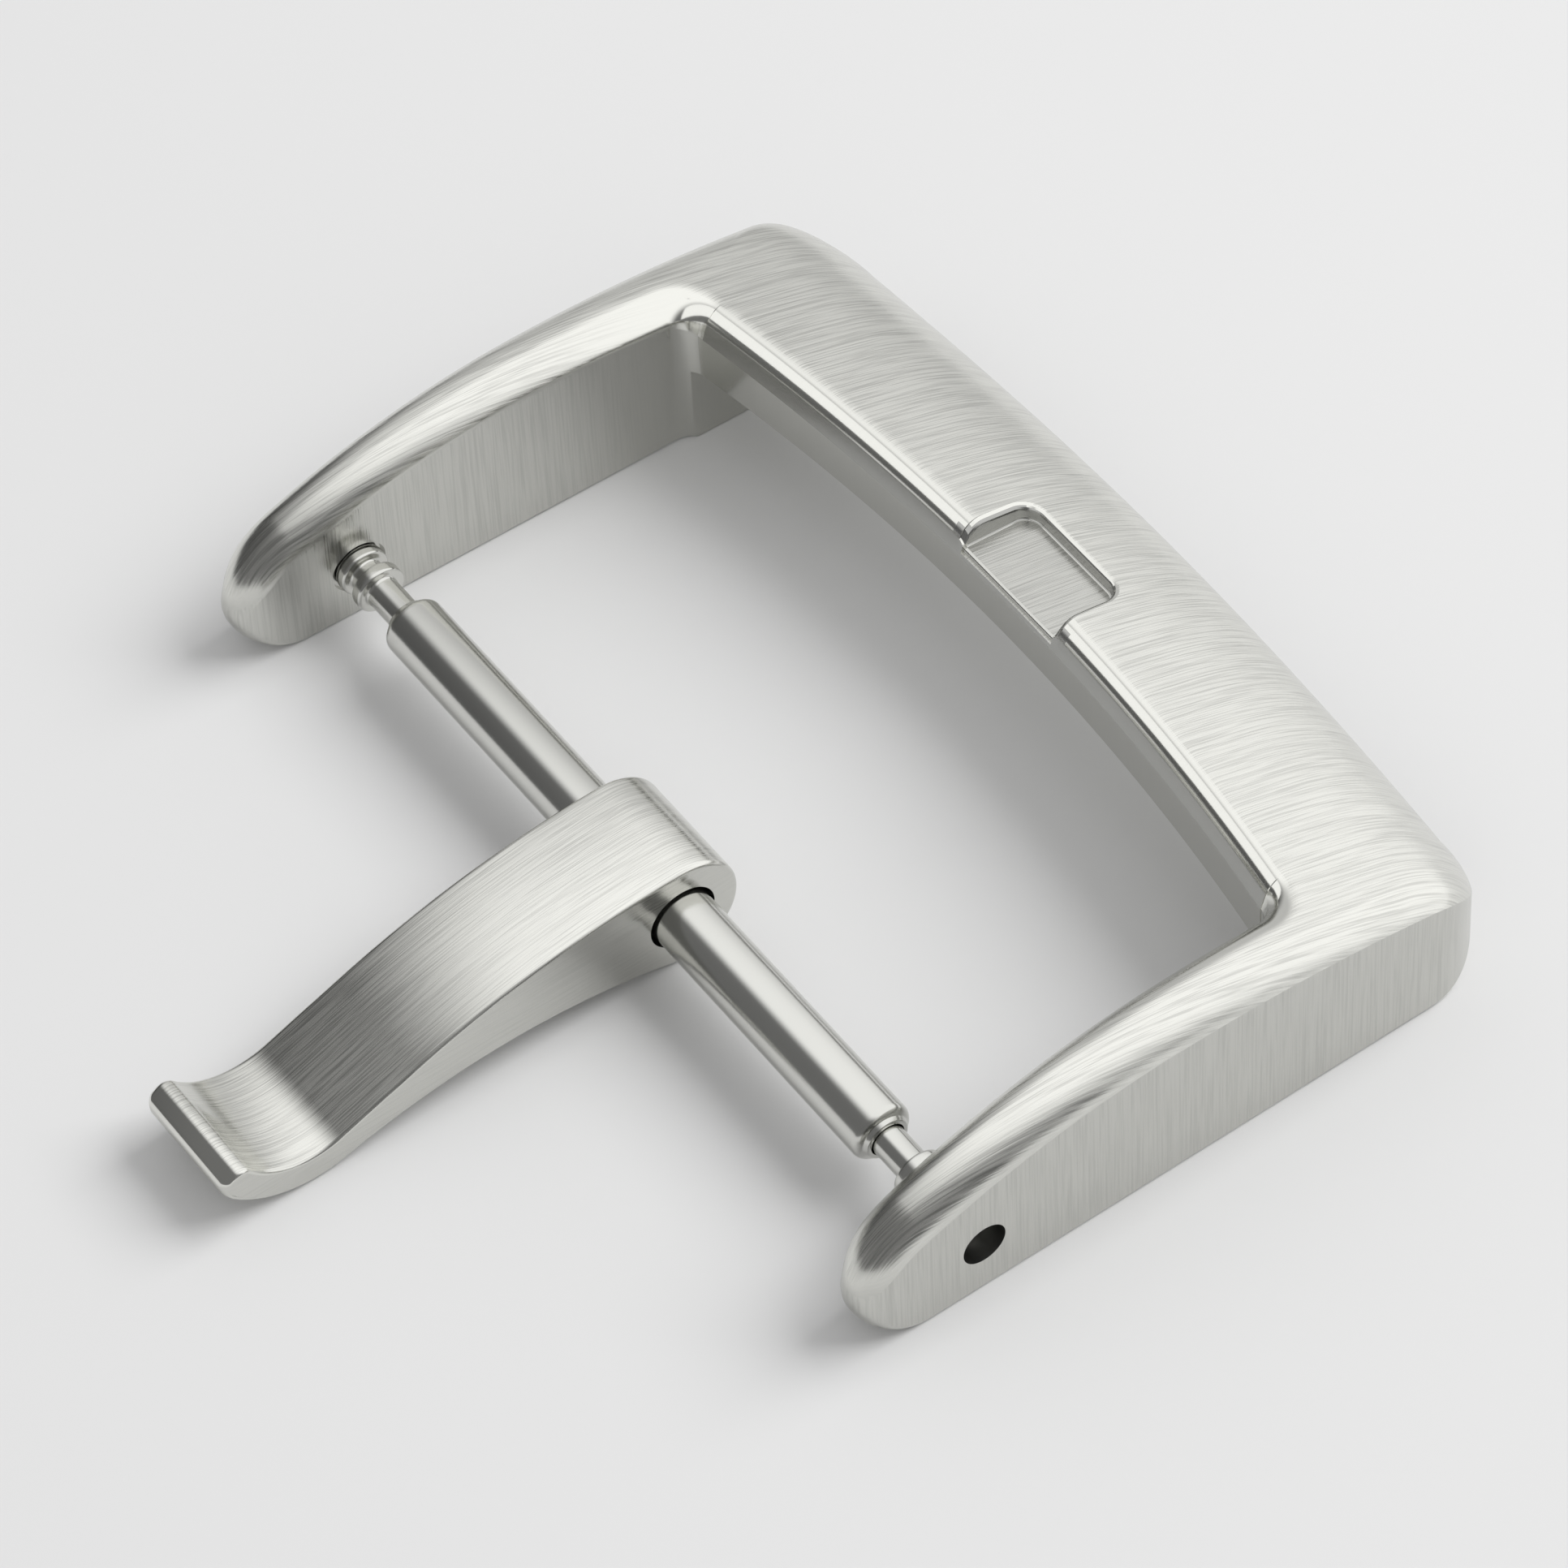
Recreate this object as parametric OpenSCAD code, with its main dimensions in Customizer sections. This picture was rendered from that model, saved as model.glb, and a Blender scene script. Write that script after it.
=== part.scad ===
// Tang buckle for a watch strap: a cast frame, a spring bar and a curled tang.
// X runs along the bar, +Y points from the bar to the front of the frame, Z is up from the table.

/* [Frame outline] */
// Width of the strap that fits between the arms at the bar
strap_w = 22; // [20:0.5:26]
// Thickness of each arm at the bar
arm_t = 1.5; // [1.3:0.05:2]
// Lean of each arm's inner wall, in millimetres inwards for each millimetre forwards
arm_lean = 0.03; // [0:0.005:0.06]
// Bar axis to the rounded rear end of each arm
rear_reach = 3.1; // [2.6:0.05:3.4]
// Bar axis to the window's front wall, on the centre line
window_reach = 9.95; // [8.5:0.05:11]
// Depth of the front bar from the window to the front face, on the centre line
front_bar_d = 4.4; // [4.2:0.05:5.2]
// Bow of the outer front face across the whole width
front_bow = 0.2; // [0.1:0.05:1]
// Bow of the window's front wall across the strap width
window_bow = 1; // [0.3:0.1:1.2]
// Radius of the two outer front corners, seen from above
outer_corner_r = 2.1; // [1.4:0.1:3]
// Radius of the two front corners of the window
window_corner_r = 0.6; // [0.4:0.1:1]

/* [Frame heights and edges] */
// Height of the crest above the table
crest_h = 4.75; // [4.6:0.05:5.4]
// Bar axis to the highest point of the crest
crest_reach = 5.1; // [4.5:0.1:6.5]
// Radius of the crest where it falls towards the rear
rear_fall_r = 18; // [17:1:40]
// Height to which the crest has fallen at the front face, before the rounding
front_h = 3.2; // [3.1:0.05:3.6]
// Height of the rounded top of each arm above its side walls
dome_h = 0.7; // [0.5:0.05:0.9]
// Height to which its outer side has flattened where the arm runs into the front corner
dome_corner_h = 0.5; // [0.3:0.05:0.7]
// Length over which the front bar rolls over into the front face
nose_w = 2.6; // [2:0.1:3]
// Height of that roll in the middle of the front bar
nose_h = 0.85; // [0.6:0.05:0.95]
// Height of that roll at the two front corners
nose_corner_h = 1.9; // [1:0.05:1.9]
// Angle of the crease between an arm's round top and its walls, in degrees
crease_a = 28; // [5:1:40]
// Radius under the front of the frame
toe_r = 0.9; // [0.7:0.05:1.1]
// Depth of the rounding of the front bar's edge along the window
rim_w = 0.6; // [0.3:0.05:0.9]
// Height of that rounding
rim_h = 0.5; // [0.3:0.05:0.6]
// Depth of the steep bevel below it, along the window
rim_bevel_w = 0.12; // [0.06:0.02:0.2]
// Height of that bevel
rim_bevel_h = 0.4; // [0.2:0.05:0.5]
// Bevel along the bottom edges of the arms
foot_bevel = 0.12; // [0.06:0.02:0.2]
// Length over which the rear ends of the arms are rounded
end_round = 1.6; // [1.2:0.1:2]
// Height of the strap passage under the front bar
passage_h = 2.3; // [2.1:0.05:2.5]
// Step from each arm's inner wall to the side of the strap passage
passage_step = 0.15; // [0.1:0.05:0.3]

/* [Tang] */
// Width of the tang
tang_w = 3.1; // [2.4:0.1:3.6]
// Outer radius of the tang's eye
eye_r = 1.5; // [1.35:0.05:1.6]
// Radius of the hollow at the curled tip
curl_r = 2; // [1.6:0.1:2.6]
// Thickness of the tang at the curl
curl_t = 0.83; // [0.7:0.05:1]
// Slope of the tang's back where it runs into the curl, in degrees
back_slope = 21; // [18:1:24]
// How far the tip's end face leans back past upright, in degrees
tip_lean = 30; // [20:2:40]
// Radius of the hollow along the tang's underside
belly_r = 15; // [12:1:30]
// Radius along the long edges of the tang
tang_edge_r = 0.13; // [0.08:0.01:0.14]

/* [Notch for the tang] */
// Height of the notch floor above the table
notch_floor = 3.7; // [3.4:0.05:3.75]
// Depth of the notch from the window's front wall
notch_run = 1.95; // [1.6:0.05:2.2]
// Gap on each side of the tang in the notch
notch_side_gap = 0.1; // [0.05:0.05:0.3]
// Gap between the tip of the tang and the notch's back wall
notch_end_gap = 0.05; // [0.05:0.05:0.2]
// Radius of the two corners at the back of the notch
notch_corner_r = 0.45; // [0.2:0.05:0.8]

/* [Spring bar] */
// Outer diameter of the spring bar's tube
tube_d = 1.5; // [1.4:0.05:1.7]
// Wall of the tube
tube_wall = 0.2; // [0.15:0.01:0.24]
// Length of the narrowed end of the tube
crimp_l = 0.32; // [0.25:0.01:0.5]
// Distance that each end pin slides into the tube
pin_travel = 1; // [0.9:0.05:1.2]
// Diameter of each end pin between the tube and the collars
shaft_d = 0.8; // [0.7:0.02:0.84]
// Diameter of the two collars on each end pin
collar_d = 1.24; // [1.1:0.02:1.4]
// Thickness of each collar
collar_t = 0.32; // [0.2:0.02:0.4]
// Groove between the two collars, for the tip of a fork tool
groove_l = 0.32; // [0.2:0.02:0.4]
// Length of the tip that stands in the arm's hole
tip_l = 0.85; // [0.7:0.05:0.9]
// Length of the guide that runs inside the tube
guide_l = 1.6; // [1.2:0.1:2.4]
// Diameter of the holes in the arms
arm_hole_d = 1.1; // [1:0.02:1.2]
// Depth of the shallow seat round each hole, in which the outer collar rests
hole_seat_l = 0.1; // [0.06:0.02:0.2]
// Diameter of the spring's wire
wire_d = 0.2; // [0.16:0.01:0.22]
// Number of turns in the spring
turns = 22; // [12:1:24]

/* [Running clearances] */
// Gap around the tube in the tang's eye
eye_gap = 0.1; // [0.05:0.01:0.1]
// Gap around each tip in the arm's hole
hole_gap = 0.08; // [0.04:0.01:0.1]
// Gap around each pin where it runs in the tube
slide_gap = 0.03; // [0.02:0.01:0.05]
// Gap between faces that rest against each other
seat_gap = 0.02; // [0.01:0.01:0.05]
// Gap between each outer collar and the floor of its seat in the arm
arm_gap = 0.05; // [0.02:0.01:0.1]
// Gap around each outer collar in its seat
collar_gap = 0.08; // [0.04:0.01:0.1]

/* [Hidden] */
$fn = 64;
satin = [0.74, 0.73, 0.71];
polished = [0.86, 0.86, 0.85];
spring_grey = [0.6, 0.6, 0.6];

// The eye of the tang clears the table by the seat gap, and the bar runs through its middle
bar_h = eye_r + seat_gap;
half_strap = strap_w / 2;
half_out = half_strap + arm_t;
front_reach = window_reach + front_bar_d;
// The tip of the closed tang lands in the notch, which lies higher than the bar
tang_reach = norm([window_reach + notch_run - notch_end_gap, notch_floor - bar_h]);
// The frame and the open tang together are centred on the origin
bar_y = (tang_reach - front_reach) / 2;

function unit(a) = [cos(a), sin(a)];
function mix(a, b, f) = a + (b - a) * f;
function sq(v) = v * v;
// Fall of an arc of radius r at the distance d from its highest point
function fall(d, r) = r - sqrt(r * r - d * d);
// Drop of an elliptic round, w wide and h high, at the distance d from the edge that it rounds
function round_off(d, w, h) = d >= w ? 0 : h * (1 - sqrt(1 - sq(1 - d / w)));

// Triangles of an outline with n points, as a strip between its points i and n - 1 - i
function cap(n) = concat(
    [for (i = [0:n - 1]) if (i + 1 < n - 1 - i) [i, i + 1, n - 1 - i]],
    [for (i = [0:n - 1]) if (i + 1 < n - 2 - i) [i + 1, n - 2 - i, n - 1 - i]]
);

// A closed solid through a row of outlines that all have the same number of points
module skin(rings) {
    n = len(rings[0]);
    last = len(rings) - 1;
    points = [for (ring = rings) each ring];
    first_cap = cap(n);
    last_cap = [for (t = cap(n)) [for (i = [2, 1, 0]) last * n + t[i]]];
    near = [for (j = [0:last - 1], i = [0:n - 1])
        [j * n + (i + 1) % n, j * n + i, (j + 1) * n + i]];
    far = [for (j = [0:last - 1], i = [0:n - 1])
        [j * n + (i + 1) % n, (j + 1) * n + i, (j + 1) * n + (i + 1) % n]];
    polyhedron(points, concat(first_cap, near, far, last_cap), convexity = 10);
}

// Outlines of the frame, seen from above
function inner_x(y) = half_strap - arm_lean * y;
function window_y(x) = window_reach - window_bow * sq(x / half_strap);
function front_y(x) = front_reach - front_bow * sq(x / half_out);

// Centres of the window corner and of the outer corner
window_cy = window_y(inner_x(window_reach) - window_corner_r) - window_corner_r;
window_c = [inner_x(window_cy) - window_corner_r, window_cy];
outer_cx = half_out - outer_corner_r;
outer_c = [outer_cx, front_y(outer_cx) - outer_corner_r];
// Angles at which the bowed walls run into the corner arcs
window_a = 90 - atan(2 * window_bow * window_c.x / sq(half_strap));
outer_a = 90 - atan(2 * front_bow * outer_c.x / sq(half_out));
// Lengths of the outer corner's arc and of the straight side beside the window corner
outer_arc_l = outer_corner_r * outer_a * PI / 180;
outer_side_l = outer_c.y - window_c.y;

// A station is [inner point, outer point, inner wall's direction, outer wall's direction, nose height]
front_stations = 9;
corner_stations = 14;
arm_stations = 11;
end_stations = 6;

function front_station(f) =
    let (
        xi = f * (window_c.x + window_corner_r * cos(window_a)),
        xo = f * (outer_c.x + outer_corner_r * cos(outer_a))
    )
    [[xi, window_y(xi)], [xo, front_y(xo)], mix(90, window_a, f), mix(90, outer_a, f), mix(nose_h, nose_corner_h, f * f)];

function corner_station(f) =
    let (
        run = f * (outer_arc_l + outer_side_l),
        in_a = mix(window_a, 0, f),
        out_a = max(0, outer_a - run / outer_corner_r * 180 / PI),
        past = max(0, run - outer_arc_l)
    )
    [window_c + window_corner_r * unit(in_a), outer_c + outer_corner_r * unit(out_a) - [0, past],
        in_a, out_a, nose_corner_h];

// Side rounding of an arm's rear end, seen from above
end_side_l = 0.6 * end_round;
end_side_w = 0.44 * arm_t;
function arm_station(y) =
    let (pinch = round_off(y + rear_reach, end_side_l, end_side_w))
    [[inner_x(y) + pinch, y], [half_out - pinch, y], 0, 0, nose_corner_h];

end_start = end_round - rear_reach;
right_half = concat(
    [for (k = [0:front_stations]) front_station(k / front_stations)],
    [for (k = [1:corner_stations]) corner_station(k / corner_stations)],
    [for (k = [1:arm_stations]) arm_station(mix(window_c.y, end_start, k / arm_stations))],
    [for (k = [1:end_stations]) arm_station(end_start - end_round * sin(90 * k / end_stations))]
);

// Height of the crest along the frame, before any rounding
front_fall_r = (sq(front_reach - crest_reach) + sq(crest_h - front_h)) / (2 * (crest_h - front_h));
function crest_z(y) = crest_h - fall(y - crest_reach, y < crest_reach ? rear_fall_r : front_fall_r);
// The rear end is round in side view: its top and bottom meet at this height
end_mid = crest_z(-rear_reach) / 2;
function end_top(y) = round_off(y + rear_reach, end_round, crest_z(-rear_reach) - end_mid - seat_gap);
function end_foot(y) = round_off(y + rear_reach, end_round, end_mid - seat_gap);

// Share of an arm's thickness that each side of its round top takes
dome_share = 0.46;
round_steps = 6;
toe_steps = 4;
foot_steps = 2;
// Narrow bevel between an arm's round top and its inner wall
wall_bevel_w = 0.02;
wall_bevel_h = 0.1;

// Share of an elliptic round's width and height that is done at the angle a, where it starts at a0
function round_w(a, a0) = (cos(a0) - cos(a)) / cos(a0);
function round_h(a, a0) = (sin(a) - sin(a0)) / (1 - sin(a0));

// One cross section of the frame: foot, outer wall, round top, bevel and inner wall
function section(s) =
    let (
        length = norm(s[1] - s[0]),
        along = (s[1] - s[0]) / length,
        in_front = sq(sin(s[2])),
        out_front = sq(sin(s[3])),
        in_cos = along * unit(s[2]),
        out_cos = along * unit(s[3]),
        foot = end_foot(s[0].y),
        height = crest_z(s[0].y) - end_top(s[0].y) - foot,
        shrink = min(1, 0.45 * height / dome_h),
        dome_w = dome_share * min(length, half_out - inner_x(window_c.y)),
        bevel_w = mix(wall_bevel_w, rim_bevel_w, in_front) / in_cos,
        bevel_h = mix(wall_bevel_h, rim_bevel_h, in_front) * shrink,
        flat = sq(min(1, max(0, s[1].y - crest_reach) / (outer_c.y - crest_reach))),
        in_w = mix(dome_w - wall_bevel_w, rim_w, in_front) / in_cos,
        in_h = mix(dome_h - wall_bevel_h, rim_h, in_front) * shrink,
        out_w = mix(dome_w, nose_w, out_front) / out_cos,
        out_h = mix(mix(dome_h, dome_corner_h, flat), s[4], out_front) * shrink,
        out_crease = crease_a * (1 - out_front),
        rear = sq(max(0, 1 - (s[0].y + rear_reach) / end_round)),
        foot_w = mix(foot_bevel * shrink, dome_w, rear),
        foot_h = mix(foot_bevel * shrink, 0.45 * height, rear),
        toe_w = mix(foot_w, toe_r, out_front) / out_cos,
        toe_h = mix(foot_h, toe_r, out_front),
        top_run = length - bevel_w - in_w - out_w,
        profile = concat(
            [for (k = [0:foot_steps]) let (a = 90 * k / foot_steps)
                [foot_w * (1 - cos(a)), foot + foot_h * (1 - sin(a)), 0]],
            [for (k = [0:toe_steps]) let (a = 90 * k / toe_steps)
                [length - toe_w * (1 - sin(a)), foot + toe_h * (1 - cos(a)), 0]],
            [for (k = [0:round_steps]) let (a = mix(out_crease, 90, k / round_steps))
                [length - out_w * round_w(a, out_crease), out_h * (round_h(a, out_crease) - 1), 1]],
            [for (f = [1 / 3, 2 / 3]) [length - out_w - f * top_run, 0, 1]],
            [for (k = [0:round_steps]) let (a = mix(90, crease_a, k / round_steps))
                [bevel_w + in_w * round_w(a, crease_a), in_h * (round_h(a, crease_a) - 1), 1]],
            [[0, -in_h - bevel_h, 1]]
        )
    )
    [for (p = profile) let (xy = s[0] + p[0] * along)
        [xy.x, xy.y, p[1] + p[2] * (crest_z(xy.y) - end_top(xy.y))]];

function mirrored(ring) = [for (p = ring) [-p.x, p.y, p.z]];
right_sections = [for (s = right_half) section(s)];
last_section = len(right_sections) - 1;
frame_sections = concat(
    [for (k = [0:last_section - 1]) mirrored(right_sections[last_section - k])],
    right_sections
);

// Space between the arms under the front bar, through which the strap runs
module strap_passage() {
    y0 = window_c.y;
    y1 = front_reach + 1;
    linear_extrude(passage_h + 1)
        polygon([
            [passage_step - inner_x(y0), y0], [inner_x(y0) - passage_step, y0],
            [inner_x(y1) - passage_step, y1], [passage_step - inner_x(y1), y1]
        ]);
}

// Slot in the front bar in which the tip of the tang lies
module tang_notch() {
    half_w = tang_w / 2 + notch_side_gap;
    y1 = window_reach + notch_run;
    linear_extrude(crest_h) {
        translate([-half_w, window_reach - 2]) square([2 * half_w, y1 - notch_corner_r - window_reach + 2]);
        translate([-half_w + notch_corner_r, y1 - 2 * notch_corner_r])
            square([2 * (half_w - notch_corner_r), 2 * notch_corner_r]);
        for (side = [-1, 1])
            translate([side * (half_w - notch_corner_r), y1 - notch_corner_r]) circle(notch_corner_r);
    }
}

module on_bar() { translate([0, bar_y, bar_h]) rotate([0, 90, 0]) children(); }

module buckle_frame() {
    color(satin) difference() {
        translate([0, bar_y, 0]) skin(frame_sections);
        translate([0, bar_y, -1]) strap_passage();
        translate([0, bar_y, notch_floor]) tang_notch();
        on_bar() cylinder(d = arm_hole_d, h = 2 * half_out + 2, center = true);
        on_bar() cylinder(d = collar_d + 2 * collar_gap, h = 2 * (half_strap + hole_seat_l), center = true);
    }
}

// Side view of the tang, as arcs in [y, z] from the bar axis, set in by e
curl_out_r = curl_r + curl_t;
tip_back_r = 0.15;
tip_foot_r = 0.25;
// Angles of the two small rounds of the tip's end face, seen from the curl's centre
tip_back_a = 180 + tip_lean + asin(tip_back_r / (curl_r + tip_back_r));
tip_foot_a = 180 + tip_lean + asin(tip_foot_r / (curl_out_r - tip_foot_r));
curl_c = [
    -tang_reach + tip_foot_r - (curl_out_r - tip_foot_r) * cos(tip_foot_a),
    curl_out_r - bar_h
];
tip_back_c = curl_c + (curl_r + tip_back_r) * unit(tip_back_a);
tip_foot_c = curl_c + (curl_out_r - tip_foot_r) * unit(tip_foot_a);
// The back leaves the top of the eye level, and meets the slope that runs into the curl
slope_end = curl_c + curl_r * unit(back_slope - 90);
slope_meet = slope_end.x + (eye_r - slope_end.y) / tan(back_slope);
back_r = -slope_meet / tan(back_slope / 2);
// Centre of the underside's hollow, which touches both the eye and the curl
curl_away = norm(curl_c);
belly_along = (sq(belly_r + eye_r) - sq(belly_r + curl_out_r) + sq(curl_away)) / (2 * curl_away);
belly_down = sqrt(sq(belly_r + eye_r) - sq(belly_along));
curl_dir = curl_c / curl_away;
belly_c = belly_along * curl_dir + belly_down * [-curl_dir.y, curl_dir.x];
function angle_of(v) = atan2(v.y, v.x);
function arc(c, r, a0, a1, n, last = 0) = [for (i = [0:n - 1 + last]) c + r * unit(mix(a0, a1, i / n))];

function tang_outline(e) =
    let (eye_a = angle_of(belly_c), curl_a = 360 + angle_of(belly_c - curl_c))
    concat(
        arc([0, 0], eye_r - e, 0, 90, 7),
        arc([0, eye_r - back_r], back_r - e, 90, 90 + back_slope, 7, 1),
        arc(curl_c, curl_r + e, 270 + back_slope, tip_back_a, 9),
        arc(tip_back_c, tip_back_r - e, tip_back_a - 180, tip_lean + 90, 4, 1),
        arc(tip_foot_c, tip_foot_r - e, tip_lean + 90, tip_foot_a, 4),
        arc(curl_c, curl_out_r - e, tip_foot_a, curl_a, 8),
        arc(belly_c, belly_r + e, curl_a - 180, eye_a + 180, 7),
        arc([0, 0], eye_r - e, eye_a, 0, 10)
    );

edge_steps = 2;
tang_layers = concat(
    [for (k = [0:edge_steps]) let (a = 90 * k / edge_steps)
        [-tang_w / 2 + tang_edge_r * (1 - cos(a)), tang_edge_r * (1 - sin(a))]],
    [for (k = [0:edge_steps]) let (a = 90 - 90 * k / edge_steps)
        [tang_w / 2 - tang_edge_r * (1 - cos(a)), tang_edge_r * (1 - sin(a))]]
);

module tang() {
    color(satin) difference() {
        translate([0, bar_y, bar_h])
            skin([for (layer = tang_layers) [for (p = tang_outline(layer[1])) [layer[0], p.x, p.y]]]);
        on_bar() cylinder(d = tube_d + 2 * eye_gap, h = tang_w + 2, center = true);
    }
}

// Places along the bar, from its middle
pin_face = half_strap + hole_seat_l - arm_gap;
collar_in = pin_face - 2 * collar_t - groove_l;
tube_half = collar_in - pin_travel - seat_gap;
crimp_start = tube_half - crimp_l;
tube_bore_r = tube_d / 2 - tube_wall;
crimp_bore_r = shaft_d / 2 + slide_gap;
crimp_out_r = crimp_bore_r + tube_wall / 2;
guide_end = crimp_start - tube_wall - seat_gap;
guide_start = guide_end - guide_l;

// Half of the tube's wall, as [radius, place along the bar]
tube_half_wall = concat(
    [[tube_bore_r, 0], [tube_d / 2, 0]],
    [for (a = [0, 30, 60]) [
        mix(crimp_out_r, tube_d / 2, cos(a)),
        mix(crimp_start, tube_half - crimp_l / 3, sin(a))
    ]],
    [[crimp_out_r, tube_half], [crimp_bore_r, tube_half]],
    [[crimp_bore_r, crimp_start - tube_wall / 2], [tube_bore_r, crimp_start - tube_wall]]
);

module spring_bar_tube() {
    color(polished) on_bar() {
        rotate_extrude() polygon(tube_half_wall);
        mirror([0, 0, 1]) rotate_extrude() polygon(tube_half_wall);
    }
}

// The spring is one wire wound as a helix between the two guides
rings_per_turn = 10;
wire_sides = 6;
coil_r = tube_bore_r - slide_gap - wire_d / 2;
coil_half = guide_start - seat_gap - wire_d / 2;
rise_a = atan(2 * coil_half / (turns * 2 * PI * coil_r));

function wire_ring(f) =
    let (
        a = 360 * turns * f,
        out = [cos(a), sin(a), 0],
        lift = [sin(a) * sin(rise_a), -cos(a) * sin(rise_a), cos(rise_a)],
        centre = coil_r * out + [0, 0, mix(-coil_half, coil_half, f)]
    )
    [for (k = [0:wire_sides - 1]) let (b = 360 * k / wire_sides)
        centre + wire_d / 2 * (cos(b) * out + sin(b) * lift)];

module spring_bar_spring() {
    rings = turns * rings_per_turn;
    color(spring_grey) on_bar() skin([for (k = [0:rings]) wire_ring(k / rings)]);
}

// An end pin, as [radius, place along the bar]: guide, shaft, two collars with a groove, and tip
tip_r = arm_hole_d / 2 - hole_gap;
collar_r = collar_d / 2;
collar_bevel = 0.06;
tip_bevel = 0.15;
function collar(start) = [
    [collar_r - collar_bevel, start], [collar_r, start + collar_bevel],
    [collar_r, start + collar_t - collar_bevel], [collar_r - collar_bevel, start + collar_t]
];
guide_r = tube_bore_r - slide_gap;
pin_profile = concat(
    [[0, guide_start], [guide_r - collar_bevel, guide_start], [guide_r, guide_start + collar_bevel]],
    [[guide_r, guide_end], [shaft_d / 2, guide_end + guide_r - shaft_d / 2], [shaft_d / 2, collar_in]],
    collar(collar_in),
    [[shaft_d / 2, collar_in + collar_t], [shaft_d / 2, pin_face - collar_t]],
    collar(pin_face - collar_t),
    [[tip_r, pin_face], [tip_r, pin_face + tip_l - tip_bevel], [tip_r - tip_bevel, pin_face + tip_l]],
    [[0, pin_face + tip_l]]
);

module end_pin() { color(polished) rotate_extrude() polygon(pin_profile); }
module end_pin_right() { on_bar() end_pin(); }
module end_pin_left() { on_bar() mirror([0, 0, 1]) end_pin(); }

buckle_frame();
tang();
spring_bar_tube();
spring_bar_spring();
end_pin_left();
end_pin_right();
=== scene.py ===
"""A watch strap's tang buckle: a satin frame, a sprung bar and a curled tang, on a pale studio floor."""

import bmesh
import bpy
import numpy as np
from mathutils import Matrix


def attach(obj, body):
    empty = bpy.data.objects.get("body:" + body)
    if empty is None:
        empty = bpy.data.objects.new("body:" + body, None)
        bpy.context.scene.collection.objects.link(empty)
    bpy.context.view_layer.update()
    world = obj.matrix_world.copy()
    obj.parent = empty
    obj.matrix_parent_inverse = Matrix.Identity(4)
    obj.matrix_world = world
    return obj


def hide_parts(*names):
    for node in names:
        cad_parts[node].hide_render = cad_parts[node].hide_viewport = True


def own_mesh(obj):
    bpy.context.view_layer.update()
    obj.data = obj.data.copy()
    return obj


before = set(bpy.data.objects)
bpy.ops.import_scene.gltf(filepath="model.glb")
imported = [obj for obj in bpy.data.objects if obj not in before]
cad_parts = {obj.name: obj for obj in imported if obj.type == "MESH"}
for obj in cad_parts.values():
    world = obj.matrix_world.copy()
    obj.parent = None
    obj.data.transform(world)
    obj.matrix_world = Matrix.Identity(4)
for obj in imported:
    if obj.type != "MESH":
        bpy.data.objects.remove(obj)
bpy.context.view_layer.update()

# Studio camera
# A long lens looks down on the buckle from the rear right, so that the bar's near end is lowest.
# Its place comes from a fit to the frame's edges, the window and the hole in the right arm.
MM = 0.001
BAR_Y = -1.1506
BAR_H = 1.52
SENSOR_W, PHOTO_PX, FOCAL_PX = 36.0, 1932, 10350.73
aim = np.array([0.0, 7.7 + BAR_Y, 2.2])
azimuth, elevation, roll = np.radians([56.6898, 51.4952, -3.3511])
camera_distance, slide_right, slide_up = 185.46, -3.0975, -2.1711

towards = np.array([
    np.sin(azimuth) * np.cos(elevation),
    -np.cos(azimuth) * np.cos(elevation),
    np.sin(elevation),
])
level_right = np.array([np.cos(azimuth), np.sin(azimuth), 0.0])
level_up = np.cross(towards, level_right)
image_right = np.cos(roll) * level_right + np.sin(roll) * level_up
image_up = -np.sin(roll) * level_right + np.cos(roll) * level_up
eye_point = aim + towards * camera_distance + image_right * slide_right + image_up * slide_up

camera_data = bpy.data.cameras.new("camera")
camera_data.sensor_width = SENSOR_W
camera_data.lens = FOCAL_PX / PHOTO_PX * SENSOR_W
camera_data.clip_start = 0.01
camera_data.clip_end = 10.0
camera = bpy.data.objects.new("camera", camera_data)
bpy.context.scene.collection.objects.link(camera)
pose = np.eye(4)
pose[:3, 0], pose[:3, 1], pose[:3, 2], pose[:3, 3] = image_right, image_up, towards, eye_point * MM
camera.matrix_world = pose.T.tolist()
bpy.context.scene.camera = camera


# Studio floor
# A pale, matt sheet that runs far past the view and takes only soft shadows.
def plain_material(name, colour, roughness):
    """A material of one colour and roughness, set on the shader's own sockets."""
    material = bpy.data.materials.new(name)
    material.use_nodes = True
    shader = material.node_tree.nodes["Principled BSDF"]
    shader.inputs["Base Color"].default_value = (*colour, 1.0)
    shader.inputs["Roughness"].default_value = roughness
    return material


def new_piece(name, points, faces, material):
    """A mesh object from points in millimetres and faces of equal size, linked to the scene."""
    mesh = bpy.data.meshes.new(name)
    mesh.from_pydata((np.asarray(points) * MM).tolist(), [], np.asarray(faces).tolist())
    mesh.update()
    mesh.shade_smooth()
    mesh.materials.append(material)
    piece = bpy.data.objects.new(name, mesh)
    bpy.context.scene.collection.objects.link(piece)
    return piece


FLOOR_REACH, FLOOR_Z = 900, -0.02
floor = new_piece(
    "floor",
    [[x * FLOOR_REACH, y * FLOOR_REACH, FLOOR_Z] for x, y in ((-1, -1), (1, -1), (1, 1), (-1, 1))],
    [[0, 1, 2, 3]],
    plain_material("floor_paper", (0.77, 0.77, 0.77), 0.9),
)


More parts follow.
